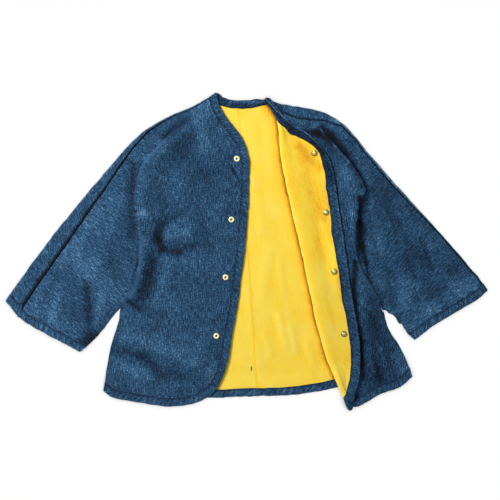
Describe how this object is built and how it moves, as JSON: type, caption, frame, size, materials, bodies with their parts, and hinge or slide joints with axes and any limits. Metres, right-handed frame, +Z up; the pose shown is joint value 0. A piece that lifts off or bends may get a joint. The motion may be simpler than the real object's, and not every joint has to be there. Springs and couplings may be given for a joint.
{
  "type": "reversible jacket",
  "caption": "Reversible kimono-sleeved jacket, denim outside and brushed yellow inside, with bound edges and snaps, laid flat with one front folded open.",
  "frame": {"origin": "middle of the garment's flat underside, on the surface it lies on", "axes": "+X from the wearer's right cuff to the left cuff, +Y from the hem to the neck, +Z up out of the surface"},
  "size_m": [0.9145, 0.5979, 0.0206],
  "materials": {
    "denim": "mid-blue slubby denim twill",
    "brushed_cotton": "bright yellow brushed cotton",
    "brass": "pale polished brass"
  },
  "bodies": {
    "root": {"back_shell_r": "denim", "back_shell_l": "denim", "back_lining_r": "brushed_cotton", "back_lining_l": "brushed_cotton", "front_shell_r": "denim", "front_shell_l": "denim", "front_lining_l": "brushed_cotton", "binding_front_r": "denim", "binding_front_l": "denim", "binding_hem_l": "denim", "binding_hem_back": "denim", "binding_neck_back": "denim", "binding_cuff_r": "denim", "binding_cuff_l": "denim", "ring_snap_1": "brass", "ring_snap_2": "brass", "ring_snap_3": "brass", "ring_snap_4": "brass", "cap_snap_1": "brass", "cap_snap_2": "brass", "cap_snap_3": "brass", "cap_snap_4": "brass"}
  },
  "joints": []
}
